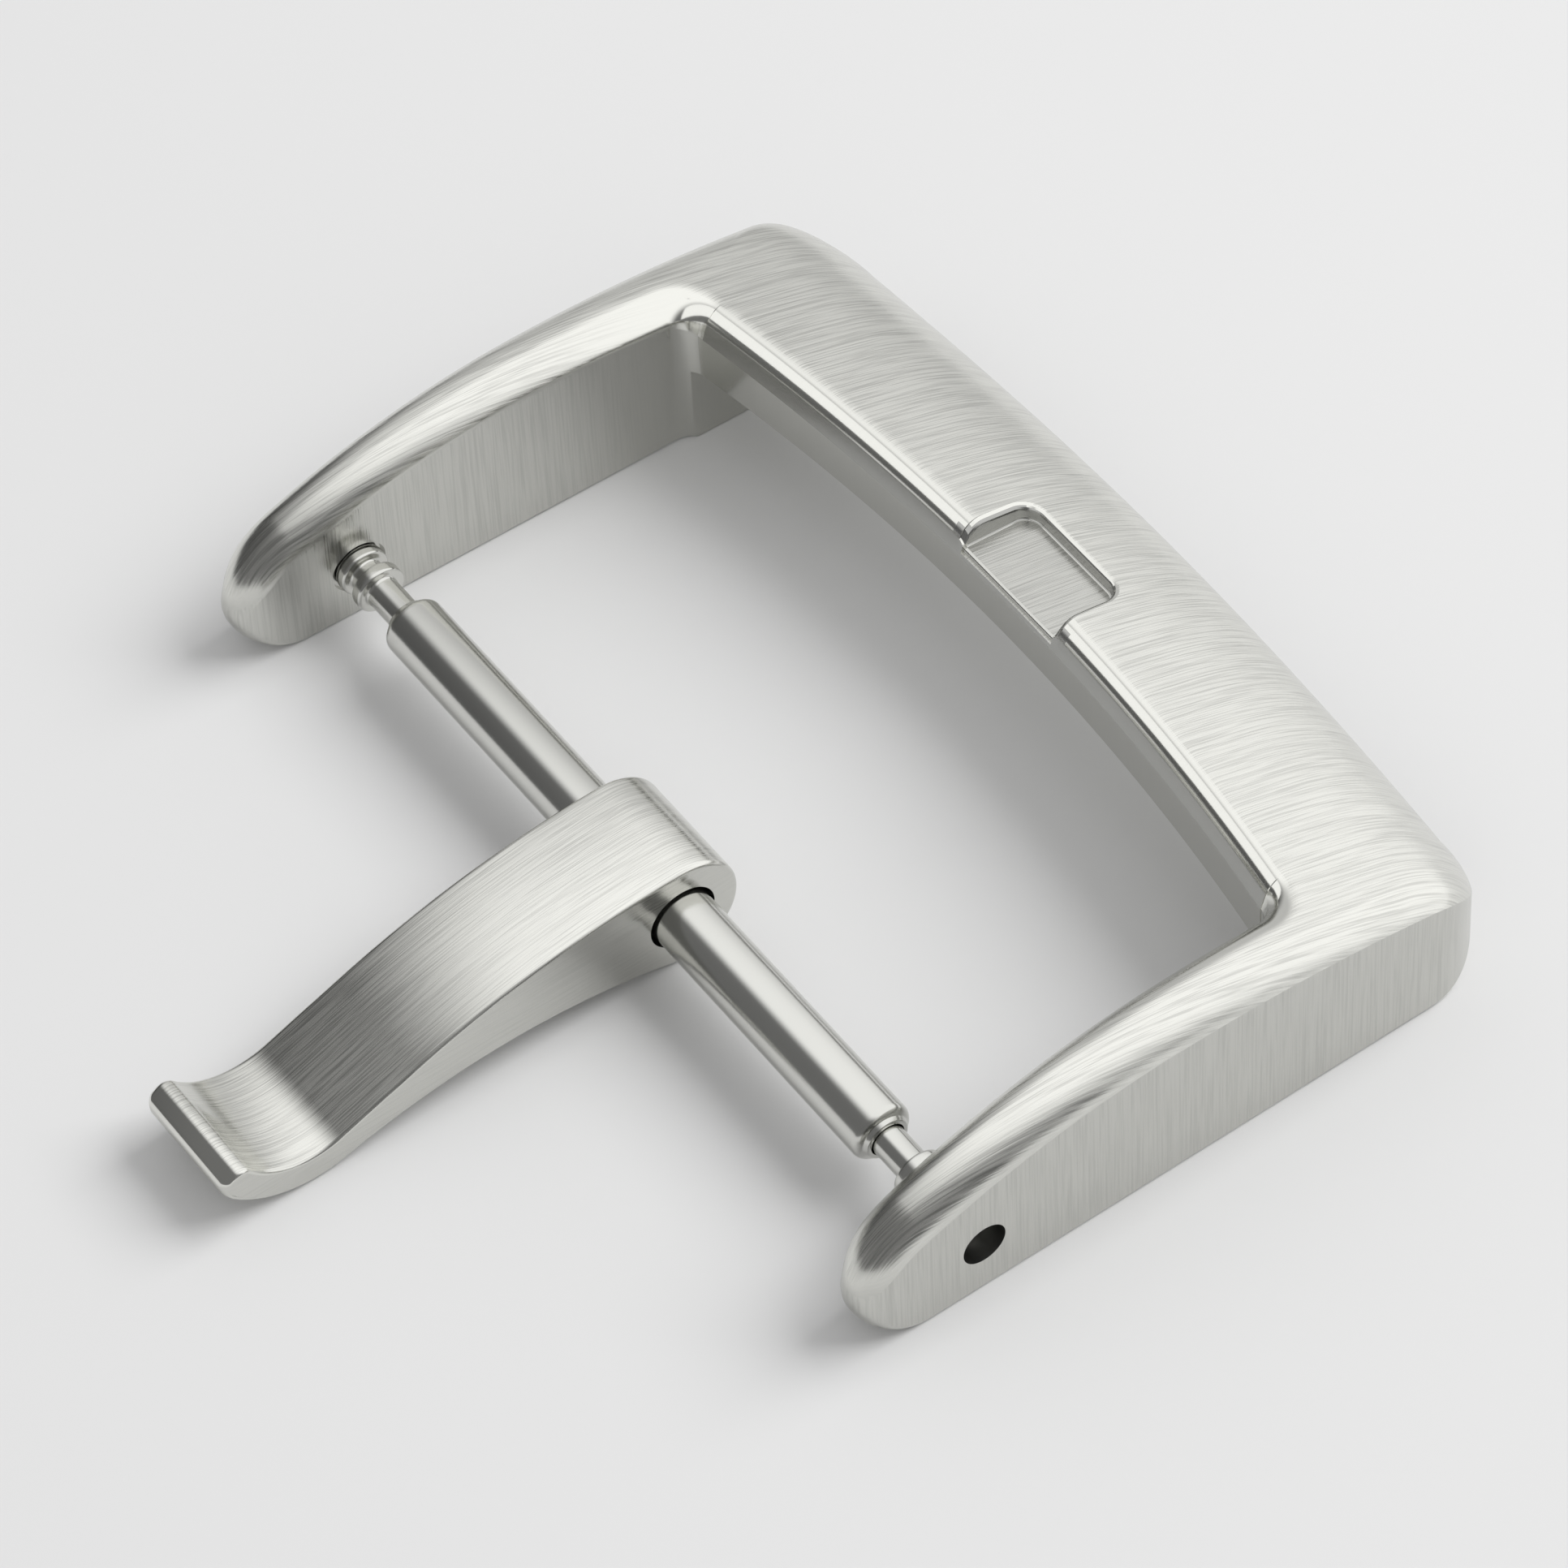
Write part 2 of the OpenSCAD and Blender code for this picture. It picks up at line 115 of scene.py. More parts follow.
# Studio light
# A small round tent of white cloth stands over the buckle for the metal to reflect: bright over the front of
# the frame, grey towards the left, and dark on the near side, which draws the dark bands in the metal.
# The floor has its own light: an even room, and one softbox behind the buckle for the soft shadows.
def tent_surface(radius, rings, sides):
    """Points and faces of a half sphere over the table: circles that shrink with the cosine of the angle upwards.

    Only a small hole is left open at its top.
    """
    up = np.linspace(0, 0.49 * np.pi, rings)[:, None]
    a = 2 * np.pi * np.arange(sides)[None] / sides
    points = radius * np.stack([np.cos(up) * np.cos(a), np.cos(up) * np.sin(a), np.sin(up) + 0 * a], -1)
    i, j = np.meshgrid(np.arange(rings - 1), np.arange(sides), indexing="ij")
    k = (j + 1) % sides
    faces = np.stack([i * sides + j, (i + 1) * sides + j, (i + 1) * sides + k, i * sides + k], -1)
    return points.reshape(-1, 3), faces.reshape(-1, 4)


def lit_cloth():
    """An emission material whose strength follows two directions seen from the middle of the tent."""
    material = bpy.data.materials.new("lit_cloth")
    material.use_nodes = True
    nodes, links = material.node_tree.nodes, material.node_tree.links
    nodes.remove(nodes["Principled BSDF"])
    place = nodes.new("ShaderNodeTexCoord")
    direction = nodes.new("ShaderNodeVectorMath")
    direction.operation = "NORMALIZE"
    links.new(place.outputs["Object"], direction.inputs[0])
    parts = []
    for axis, edge, low, high in (
        ((-0.05, 0.78, 0.62), (0.10, 0.50), 0.18, 1.20),
        ((-0.95, 0.10, -0.30), (0.10, 0.62), 1.0, 0.50),
    ):
        along = nodes.new("ShaderNodeVectorMath")
        along.operation = "DOT_PRODUCT"
        along.inputs[1].default_value = axis
        links.new(direction.outputs["Vector"], along.inputs[0])
        level = nodes.new("ShaderNodeMapRange")
        level.interpolation_type = "SMOOTHSTEP"
        level.inputs["From Min"].default_value, level.inputs["From Max"].default_value = edge
        level.inputs["To Min"].default_value, level.inputs["To Max"].default_value = low, high
        links.new(along.outputs["Value"], level.inputs["Value"])
        parts.append(level)
    both = nodes.new("ShaderNodeMath")
    both.operation = "MULTIPLY"
    links.new(parts[0].outputs["Result"], both.inputs[0])
    links.new(parts[1].outputs["Result"], both.inputs[1])
    glow = nodes.new("ShaderNodeEmission")
    links.new(both.outputs[0], glow.inputs["Strength"])
    links.new(glow.outputs["Emission"], nodes["Material Output"].inputs["Surface"])
    return material


def only_reflected(piece):
    """Leaves the piece to reflections: it is neither seen itself, nor lights what is matt, nor casts a shadow."""
    piece.visible_camera = piece.visible_diffuse = piece.visible_shadow = False


tent = new_piece("light_tent", *tent_surface(56.0, 24, 64), lit_cloth())
only_reflected(tent)


def softbox(name, place, look_at, size, power):
    """A square lamp at a place in metres, turned to look at a point, that lights only what is matt."""
    lamp = bpy.data.lights.new(name, "AREA")
    lamp.size = size
    lamp.energy = power
    holder = bpy.data.objects.new(name, lamp)
    bpy.context.scene.collection.objects.link(holder)
    away = np.array(place, float) - np.array(look_at, float)
    away /= np.linalg.norm(away)
    side = np.cross([0.0, 0.0, 1.0], away)
    side /= np.linalg.norm(side)
    matrix = np.eye(4)
    matrix[:3, 0], matrix[:3, 1], matrix[:3, 2], matrix[:3, 3] = side, np.cross(away, side), away, place
    holder.matrix_world = matrix.T.tolist()
    holder.visible_glossy = False
    return holder


softbox("back_softbox", (0.12, 0.38, 0.42), (0.0, 0.0, 0.0), 0.40, 2.5)


def one_sided_glow(strength):
    """A material that glows on its front face only and lets everything through from behind."""
    material = bpy.data.materials.new("card_glow")
    material.use_nodes = True
    nodes, links = material.node_tree.nodes, material.node_tree.links
    nodes.remove(nodes["Principled BSDF"])
    glow = nodes.new("ShaderNodeEmission")
    glow.inputs["Strength"].default_value = strength
    clear = nodes.new("ShaderNodeBsdfTransparent")
    side = nodes.new("ShaderNodeNewGeometry")
    choice = nodes.new("ShaderNodeMixShader")
    links.new(side.outputs["Backfacing"], choice.inputs["Fac"])
    links.new(glow.outputs["Emission"], choice.inputs[1])
    links.new(clear.outputs["BSDF"], choice.inputs[2])
    links.new(choice.outputs["Shader"], nodes["Material Output"].inputs["Surface"])
    return material


# A card over the bar, for the bright line along the window's rim.
rim_card = new_piece(
    "rim_card", [[14, 0, 6.6], [-34, 0, 6.6], [-34, -8, 30], [14, -8, 30]], [[0, 1, 2, 3]], one_sided_glow(1.15)
)
only_reflected(rim_card)

world = bpy.data.worlds.new("studio_air")
bpy.context.scene.world = world
world.use_nodes = True
world.node_tree.nodes["Background"].inputs["Color"].default_value = (0.55, 0.55, 0.55, 1.0)
bpy.context.scene.view_settings.view_transform = "Standard"


# Satin steel
# Stainless steel brushed with a fine belt: thousands of short parallel scratches, with a few deeper ones.
# The walls are brushed up and down, and everything else from the bar towards the front.
def brushing_group():
    """A node group: noise drawn out along one axis, as roughness, height and a faint shade of the scratches."""
    group = bpy.data.node_groups.new("brushing", "ShaderNodeTree")
    socket = group.interface.new_socket
    socket("Vector", in_out="INPUT", socket_type="NodeSocketVector")
    for name in ("Smooth", "Rough", "Darkest"):
        socket(name, in_out="INPUT", socket_type="NodeSocketFloat")
    for name in ("Roughness", "Height", "Shade"):
        socket(name, in_out="OUTPUT", socket_type="NodeSocketFloat")
    nodes, links = group.nodes, group.links
    entry, leave = nodes.new("NodeGroupInput"), nodes.new("NodeGroupOutput")
    layers = []
    for scale, detail in ((1.0, 2.0), (0.35, 1.0)):
        noise = nodes.new("ShaderNodeTexNoise")
        noise.inputs["Scale"].default_value = scale
        noise.inputs["Detail"].default_value = detail
        noise.inputs["Roughness"].default_value = 0.6
        links.new(entry.outputs["Vector"], noise.inputs["Vector"])
        layers.append(noise)
    both = nodes.new("ShaderNodeMix")
    both.inputs["Factor"].default_value = 0.12
    links.new(layers[0].outputs["Fac"], both.inputs["A"])
    links.new(layers[1].outputs["Fac"], both.inputs["B"])
    for low, high, output in (("Smooth", "Rough", "Roughness"), ("Darkest", None, "Shade")):
        spread = nodes.new("ShaderNodeMapRange")
        spread.inputs["From Min"].default_value = 0.36
        spread.inputs["From Max"].default_value = 0.56
        spread.inputs["To Max"].default_value = 1.0
        links.new(both.outputs[0], spread.inputs["Value"])
        links.new(entry.outputs[low], spread.inputs["To Min"])
        if high:
            links.new(entry.outputs[high], spread.inputs["To Max"])
        links.new(spread.outputs["Result"], leave.inputs[output])
    links.new(both.outputs[0], leave.inputs["Height"])
    return group


def wall_group():
    """A node group: chooses the scratches' axis by the way the surface faces, steep walls from the rest."""
    group = bpy.data.node_groups.new("brush_axis", "ShaderNodeTree")
    group.interface.new_socket("Along", in_out="INPUT", socket_type="NodeSocketVector")
    group.interface.new_socket("Upright", in_out="INPUT", socket_type="NodeSocketVector")
    group.interface.new_socket("Vector", in_out="OUTPUT", socket_type="NodeSocketVector")
    group.interface.new_socket("Steep", in_out="OUTPUT", socket_type="NodeSocketFloat")
    nodes, links = group.nodes, group.links
    entry, leave = nodes.new("NodeGroupInput"), nodes.new("NodeGroupOutput")
    facing = nodes.new("ShaderNodeNewGeometry")
    parts = nodes.new("ShaderNodeSeparateXYZ")
    links.new(facing.outputs["Normal"], parts.inputs["Vector"])
    lift = nodes.new("ShaderNodeMath")
    lift.operation = "ABSOLUTE"
    links.new(parts.outputs["Z"], lift.inputs[0])
    steep = nodes.new("ShaderNodeMapRange")
    steep.inputs["From Min"].default_value = 0.36
    steep.inputs["From Max"].default_value = 0.20
    links.new(lift.outputs[0], steep.inputs["Value"])
    choice = nodes.new("ShaderNodeMix")
    choice.data_type = "VECTOR"
    links.new(steep.outputs["Result"], choice.inputs["Factor"])
    links.new(entry.outputs["Along"], choice.inputs["A"])
    links.new(entry.outputs["Upright"], choice.inputs["B"])
    links.new(choice.outputs["Result"], leave.inputs["Vector"])
    links.new(steep.outputs["Result"], leave.inputs["Steep"])
    return group


brushing, brush_axis = brushing_group(), wall_group()
SCRATCH_DRAW = 0.02  # how dense the scratches are along their length, against across it
POLISH_ROUGHNESS, POLISH_DEPTH = 0.13, 0.06
SCRATCH_H = 0.00002


def brushed_metal(name, colour, smooth, rough, darkest, strength, fine, tilt, wall_scale, wall_depth, wall_painted_shade):
    """A brushed metal: fine is the number of scratches per metre, and tilt their turn from the y axis.

    On steep walls the scratches are stretched by wall_scale instead and only wall_depth as deep, and the metal's
    colour is darkened by the last argument, as painted shade on the walls. The faces' attribute "polish" takes the
    scratches away.
    """
    material = bpy.data.materials.new(name)
    material.use_nodes = True
    nodes, links = material.node_tree.nodes, material.node_tree.links
    shader = nodes["Principled BSDF"]
    shader.inputs["Metallic"].default_value = 1.0
    place = nodes.new("ShaderNodeTexCoord")
    axis = nodes.new("ShaderNodeGroup")
    axis.node_tree = brush_axis
    for entry, scale, turn in (
        ("Along", (fine, SCRATCH_DRAW * fine, SCRATCH_DRAW * fine), tilt),
        ("Upright", wall_scale, 0.0),
    ):
        stretch = nodes.new("ShaderNodeMapping")
        stretch.inputs["Scale"].default_value = scale
        turned = nodes.new("ShaderNodeMapping")
        turned.inputs["Rotation"].default_value = (0.0, 0.0, turn)
        links.new(place.outputs["Object"], turned.inputs["Vector"])
        links.new(turned.outputs["Vector"], stretch.inputs["Vector"])
        links.new(stretch.outputs["Vector"], axis.inputs[entry])
    lines = nodes.new("ShaderNodeGroup")
    lines.node_tree = brushing
    lines.inputs["Smooth"].default_value = smooth
    lines.inputs["Rough"].default_value = rough
    lines.inputs["Darkest"].default_value = darkest
    links.new(axis.outputs["Vector"], lines.inputs["Vector"])
    tone = nodes.new("ShaderNodeMix")
    tone.data_type = "RGBA"
    tone.inputs["A"].default_value = (0.0, 0.0, 0.0, 1.0)
    tone.inputs["B"].default_value = (*colour, 1.0)
    polish = nodes.new("ShaderNodeAttribute")
    polish.attribute_name = "polish"
    on_wall = []
    # The second share darkens the colour on steep walls: painted shade.
    for share in (wall_depth, wall_painted_shade):
        part = nodes.new("ShaderNodeMapRange")
        part.inputs["To Min"].default_value = 1.0
        part.inputs["To Max"].default_value = share
        links.new(axis.outputs["Steep"], part.inputs["Value"])
        on_wall.append(part.outputs["Result"])
    depth = nodes.new("ShaderNodeMix")
    depth.inputs["B"].default_value = POLISH_DEPTH
    links.new(polish.outputs["Fac"], depth.inputs["Factor"])
    links.new(on_wall[0], depth.inputs["A"])
    gloss = nodes.new("ShaderNodeMix")
    gloss.inputs["B"].default_value = POLISH_ROUGHNESS
    links.new(polish.outputs["Fac"], gloss.inputs["Factor"])
    links.new(lines.outputs["Roughness"], gloss.inputs["A"])
    links.new(gloss.outputs["Result"], shader.inputs["Roughness"])
    shade = nodes.new("ShaderNodeMix")
    shade.inputs["A"].default_value = 1.0
    links.new(depth.outputs["Result"], shade.inputs["Factor"])
    links.new(lines.outputs["Shade"], shade.inputs["B"])
    level = nodes.new("ShaderNodeMath")
    level.operation = "MULTIPLY"
    links.new(shade.outputs["Result"], level.inputs[0])
    links.new(on_wall[1], level.inputs[1])
    links.new(level.outputs[0], tone.inputs["Factor"])
    links.new(tone.outputs["Result"], shader.inputs["Base Color"])
    bump = nodes.new("ShaderNodeBump")
    deep = nodes.new("ShaderNodeMath")
    deep.operation = "MULTIPLY"
    deep.inputs[1].default_value = strength
    links.new(depth.outputs["Result"], deep.inputs[0])
    links.new(deep.outputs[0], bump.inputs["Strength"])
    bump.inputs["Distance"].default_value = SCRATCH_H
    links.new(lines.outputs["Height"], bump.inputs["Height"])
    links.new(bump.outputs["Normal"], shader.inputs["Normal"])
    return material


# Its last number paints steep walls darker, as painted shade.
SATIN_BRUSH = (0.76, 0.26, 30000.0, 0.12, (18000.0, 18000.0, 400.0), 0.6, 0.8)
satin_steel = brushed_metal("satin_steel", (0.76, 0.76, 0.72), 0.15, 0.27, *SATIN_BRUSH)


# Frame
# One cast and machined piece of stainless steel: two arched arms and a bowed front bar. The arms are brushed
# along their length and their domed tops are softly polished. A notch in the front bar takes the tang's tip.
STRAP_W, ARM_T, ARM_LEAN, REAR_REACH = 22.0, 1.5, 0.03, 3.1
WINDOW_REACH, FRONT_BAR_D, FRONT_BOW, WINDOW_BOW = 9.95, 4.4, 0.2, 1.0
OUTER_CORNER_R, WINDOW_CORNER_R = 2.1, 0.6
CREST_H, CREST_REACH, REAR_FALL_R, FRONT_H = 4.75, 5.1, 18.0, 3.2
DOME_H, DOME_CORNER_H, DOME_SHARE, CREASE_A = 0.7, 0.5, 0.46, np.radians(28.0)
NOSE_W, NOSE_H, NOSE_CORNER_H, TOE_R = 2.6, 0.85, 1.9, 0.9
RIM_W, RIM_H, RIM_BEVEL_W, RIM_BEVEL_H, WALL_BEVEL_W, WALL_BEVEL_H = 0.6, 0.5, 0.12, 0.4, 0.02, 0.1
FOOT_BEVEL, END_ROUND, END_EDGE, PASSAGE_H, PASSAGE_STEP = 0.12, 1.6, 0.02, 2.3, 0.15
PINCH_SHARE, PINCH_W_SHARE, ROUND_SHARE = 0.44, 0.6, 0.45
STATIONS = (60, 56, 70, 36)  # along half the front bar, a corner, an arm and its rear end
half_strap = STRAP_W / 2
half_out = half_strap + ARM_T
front_reach = WINDOW_REACH + FRONT_BAR_D
front_fall_r = ((front_reach - CREST_REACH) ** 2 + (CREST_H - FRONT_H) ** 2) / (2 * (CREST_H - FRONT_H))


def unit(a):
    """The unit vector at the angle a."""
    return np.stack([np.cos(a), np.sin(a)], -1)


def mix(a, b, f):
    """a at f = 0, b at f = 1, and straight between them."""
    return a + (b - a) * f


def inner_x(y):
    """The arm's inner wall leans inwards as y goes forwards."""
    return half_strap - ARM_LEAN * y


def crest(y):
    """Height of the crest: one arc falls to the rear and a flatter one to the front."""
    d = y - CREST_REACH
    r = np.where(d < 0, REAR_FALL_R, front_fall_r)
    return CREST_H - r + np.sqrt(r * r - d * d)


def round_off(d, w, h):
    """Drop of an elliptic round, w wide and h high, at the distance d from the edge that it rounds."""
    u = np.clip(1 - d / w, 0, 1)
    return h * (1 - np.sqrt(np.clip(1 - u * u, 0, 1)))


def frame_stations(front_n, corner_n, arm_n, end_n):
    """Inner and outer wall points of the right half, the directions that the walls face, and the nose's height.

    The front bar's walls are parabolas, the corners are arcs turned through together, the arms are straight,
    and the rear ends are pinched by an elliptic round.
    """
    wc_y = WINDOW_REACH - WINDOW_BOW * ((inner_x(WINDOW_REACH) - WINDOW_CORNER_R) / half_strap) ** 2 - WINDOW_CORNER_R
    window_c = np.array([inner_x(wc_y) - WINDOW_CORNER_R, wc_y])
    oc_x = half_out - OUTER_CORNER_R
    outer_c = np.array([oc_x, front_reach - FRONT_BOW * (oc_x / half_out) ** 2 - OUTER_CORNER_R])
    window_a = np.pi / 2 - np.arctan(2 * WINDOW_BOW * window_c[0] / half_strap**2)
    outer_a = np.pi / 2 - np.arctan(2 * FRONT_BOW * outer_c[0] / half_out**2)
    f = np.linspace(0, 1, front_n + 1)
    xi = f * (window_c[0] + WINDOW_CORNER_R * np.cos(window_a))
    xo = f * (outer_c[0] + OUTER_CORNER_R * np.cos(outer_a))
    inner = [np.stack([xi, WINDOW_REACH - WINDOW_BOW * (xi / half_strap) ** 2], -1)]
    outer = [np.stack([xo, front_reach - FRONT_BOW * (xo / half_out) ** 2], -1)]
    in_a, out_a = [mix(np.pi / 2, window_a, f)], [mix(np.pi / 2, outer_a, f)]
    nose = [mix(NOSE_H, NOSE_CORNER_H, f * f), np.full(corner_n + arm_n + end_n, NOSE_CORNER_H)]
    f = np.linspace(0, 1, corner_n + 1)[1:]
    arc = OUTER_CORNER_R * outer_a
    run = f * (arc + outer_c[1] - window_c[1])
    a = mix(window_a, 0, f)
    b = np.maximum(0, outer_a - run / OUTER_CORNER_R)
    straight = np.stack([0 * run, np.maximum(0, run - arc)], -1)
    inner.append(window_c + WINDOW_CORNER_R * unit(a))
    outer.append(outer_c + OUTER_CORNER_R * unit(b) - straight)
    in_a.append(a)
    out_a.append(b)
    end_start = END_ROUND - REAR_REACH
    y = np.concatenate([
        mix(window_c[1], end_start, np.linspace(0, 1, arm_n + 1)[1:]),
        end_start - END_ROUND * np.sin(np.pi / 2 * np.linspace(0, 1, end_n + 1)[1:]),
    ])
    pinch = round_off(y + REAR_REACH, PINCH_W_SHARE * END_ROUND, PINCH_SHARE * ARM_T)
    inner.append(np.stack([inner_x(y) + pinch, y], -1))
    outer.append(np.stack([half_out - pinch, y], -1))
    in_a.append(0 * y)
    out_a.append(0 * y)
    return [np.concatenate(x) for x in (inner, outer, in_a, out_a, nose)] + [window_c, outer_c]


def share_run(a, a0):
    """Share of an elliptic round's width that is done at the angle a, where the round starts at a0."""
    return (np.cos(a0) - np.cos(a)) / np.cos(a0)


def share_rise(a, a0):
    """Share of an elliptic round's height that is done at the angle a, where the round starts at a0."""
    return (np.sin(a) - np.sin(a0)) / (1 - np.sin(a0))


def frame_skin(round_n, top_n, toe_n):
    """The frame's closed outside as a grid of stations and outline points, in millimetres from the bar's axis.

    Each station's outline goes over the foot, up the outer wall, over two elliptic rounds with the crest
    between them, and down a bevel and the inner wall. Widths and heights pass smoothly from those of the
    arms' dome to those of the front bar with the square of the sine of the wall's direction.
    """
    inner, outer, in_a, out_a, nose_h, window_c, outer_c = frame_stations(*STATIONS)
    length = np.linalg.norm(outer - inner, axis=1)
    along = (outer - inner) / length[:, None]
    in_front, out_front = np.sin(in_a) ** 2, np.sin(out_a) ** 2
    in_cos = (along * unit(in_a)).sum(1)
    out_cos = (along * unit(out_a)).sum(1)
    y0 = inner[:, 1]
    rear_h = crest(-REAR_REACH)

    def end_top(y):
        return round_off(y + REAR_REACH, END_ROUND, rear_h / 2 - END_EDGE)

    foot = end_top(y0)
    tall = crest(y0) - end_top(y0) - foot
    shrink = np.minimum(1, ROUND_SHARE * tall / DOME_H)
    dome_w = DOME_SHARE * np.minimum(length, half_out - inner_x(window_c[1]))
    bevel_w = mix(WALL_BEVEL_W, RIM_BEVEL_W, in_front) / in_cos
    bevel_h = mix(WALL_BEVEL_H, RIM_BEVEL_H, in_front) * shrink
    in_w = mix(dome_w - WALL_BEVEL_W, RIM_W, in_front) / in_cos
    in_h = mix(DOME_H - WALL_BEVEL_H, RIM_H, in_front) * shrink
    out_w = mix(dome_w, NOSE_W, out_front) / out_cos
    flat = np.clip((outer[:, 1] - CREST_REACH) / (outer_c[1] - CREST_REACH), 0, 1) ** 2
    out_h = mix(mix(DOME_H, DOME_CORNER_H, flat), nose_h, out_front) * shrink
    out_crease = CREASE_A * (1 - out_front)
    rear = np.clip(1 - (y0 + REAR_REACH) / END_ROUND, 0, None) ** 2
    foot_w, foot_h = mix(FOOT_BEVEL * shrink, dome_w, rear), mix(FOOT_BEVEL * shrink, ROUND_SHARE * tall, rear)
    toe_w, toe_h = mix(foot_w, TOE_R, out_front) / out_cos, mix(foot_h, TOE_R, out_front)
    top_run = length - bevel_w - in_w - out_w
    run, height, on_top = [], [], []

    def add(at, z, from_crest):
        run.append(at)
        height.append(z)
        on_top.append(from_crest)

    for a in np.pi / 2 * np.linspace(0, 1, toe_n + 1):
        add(foot_w * (1 - np.cos(a)), foot + foot_h * (1 - np.sin(a)), 0)
    for a in np.pi / 2 * np.linspace(0, 1, toe_n + 1):
        add(length - toe_w * (1 - np.sin(a)), foot + toe_h * (1 - np.cos(a)), 0)
    for f in np.linspace(0, 1, round_n + 1):
        a = mix(out_crease, np.pi / 2, f)
        add(length - out_w * share_run(a, out_crease), out_h * (share_rise(a, out_crease) - 1), 1)
    for f in np.linspace(0, 1, top_n + 2)[1:-1]:
        add(length - out_w - f * top_run, 0 * length, 1)
    for f in np.linspace(0, 1, round_n + 1):
        a = mix(np.pi / 2, CREASE_A, f)
        add(bevel_w + in_w * share_run(a, CREASE_A), in_h * (share_rise(a, CREASE_A) - 1), 1)
    add(0 * length, -in_h - bevel_h, 1)
    run, height, on_top = np.stack(run, 1), np.stack(height, 1), np.array(on_top)
    xy = inner[:, None] + run[..., None] * along[:, None]
    z = height + on_top * (crest(xy[..., 1]) - end_top(xy[..., 1]))
    right = np.concatenate([xy, z[..., None]], -1)
    left = right[:0:-1] * [-1, 1, 1]
    return np.concatenate([left, right])


def closed_tube(rings):
    """Points and faces of a grid whose rows are closed outlines, with one face over the first and last of them."""
    n, m = rings.shape[:2]
    i, j = np.meshgrid(np.arange(n - 1), np.arange(m), indexing="ij")
    k = (j + 1) % m
    sides = np.stack([i * m + k, i * m + j, (i + 1) * m + j, (i + 1) * m + k], -1).reshape(-1, 4)
    return rings.reshape(-1, 3), sides.tolist() + [list(range(m)), [n * m - 1 - q for q in range(m)]]


def mesh_object(name, points, faces):
    """A plain object in millimetres, for the cuts."""
    mesh = bpy.data.meshes.new(name)
    mesh.from_pydata(np.asarray(points).tolist(), [], faces)
    mesh.update()
    piece = bpy.data.objects.new(name, mesh)
    bpy.context.scene.collection.objects.link(piece)
    return piece


def cut_out(piece, cutters):
    """Takes the cutters' volumes out of the piece and removes the cutters."""
    for cutter in cutters:
        modifier = piece.modifiers.new(cutter.name, "BOOLEAN")
        modifier.operation = "DIFFERENCE"
        modifier.solver = "EXACT"
        modifier.object = cutter
    bpy.context.view_layer.update()
    done = piece.evaluated_get(bpy.context.evaluated_depsgraph_get())
    mesh = bpy.data.meshes.new_from_object(done)
    piece.modifiers.clear()
    piece.data = mesh
    for cutter in cutters:
        bpy.data.objects.remove(cutter)
    return piece


def passage_cutter(window_c_y):
    """A flat-topped prism between the arms, under the front bar, for the strap."""
    y0, y1 = window_c_y, front_reach + 1
    plan = np.array([
        [PASSAGE_STEP - inner_x(y0), y0], [inner_x(y0) - PASSAGE_STEP, y0],
        [inner_x(y1) - PASSAGE_STEP, y1], [PASSAGE_STEP - inner_x(y1), y1],
    ])
    rings = np.stack([np.concatenate([plan, np.full((4, 1), z)], 1) for z in (PASSAGE_H, -1.0)])
    return closed_tube(rings)


NOTCH_FLOOR, NOTCH_FALL, NOTCH_RUN, NOTCH_HALF_W = 3.7, 0.1, 1.95, 1.65
NOTCH_CORNER_R, NOTCH_RIM_R, NOTCH_FILLET, LIP_R, LIP_STEP = 0.45, 0.2, 0.05, 0.16, 0.07


def notch_floor_z(y):
    """The notch's floor falls evenly from the window's wall to the notch's back."""
    return NOTCH_FLOOR - NOTCH_FALL * (y - WINDOW_REACH)


def notch_cutter():
    """The slot for the tang's tip: an outline with two round corners, swept up and flared over its rim.

    Its foot is a small quarter round. The flare is a quarter round of the rim's radius that follows the crest,
    and where the wall is too low for both, each ring stays a hair above the last one.
    """
    y_end = WINDOW_REACH + NOTCH_RUN
    a = np.linspace(0, np.pi / 2, 13)
    corner = np.array([NOTCH_HALF_W - NOTCH_CORNER_R, y_end - NOTCH_CORNER_R])
    side_y = np.linspace(WINDOW_REACH - 1.6, corner[1], 26)[:-1]
    right = np.concatenate([
        np.stack([0 * side_y + NOTCH_HALF_W, side_y], -1), corner + NOTCH_CORNER_R * unit(a)
    ])
    facing = np.concatenate([np.tile([1.0, 0.0], (len(side_y), 1)), unit(a)])
    plan = np.concatenate([right, right[::-1] * [-1, 1]])
    facing = np.concatenate([facing, facing[::-1] * [-1, 1]])
    turn = np.linspace(CREASE_A, np.pi / 2, 12)
    rim_run = np.append(0, RIM_BEVEL_W + RIM_W * share_run(turn, CREASE_A))
    rim_drop = np.append(RIM_H + RIM_BEVEL_H, RIM_H * (1 - share_rise(turn, CREASE_A)))
    rings = []
    for b in np.linspace(0, np.pi / 2, 4):
        p = plan - facing * NOTCH_FILLET * (1 - np.sin(b))
        rings.append(np.concatenate([p, notch_floor_z(p[:, 1:]) + NOTCH_FILLET * (1 - np.cos(b))], 1))
    for b in np.linspace(0, 1.35, 7):
        p = plan + facing * NOTCH_RIM_R * (1 - np.cos(b))
        inside = np.clip(p[:, 1], WINDOW_REACH, None)
        rim = np.interp(inside - WINDOW_REACH, rim_run, rim_drop)
        top = crest(inside) - rim
        lowest = notch_floor_z(p[:, 1]) + NOTCH_FILLET + 0.002 * (1 + len(rings))
        z = np.maximum(top - NOTCH_RIM_R * (1 - np.sin(b)), lowest)
        rings.append(np.concatenate([p, z[:, None]], 1))
    p = plan + facing * NOTCH_RIM_R * 1.6
    rings.append(np.concatenate([p, np.full((len(p), 1), CREST_H + 0.5)], 1))
    rings = np.stack(rings)
    return rings.reshape(-1, 3), closed_tube(rings)[1]


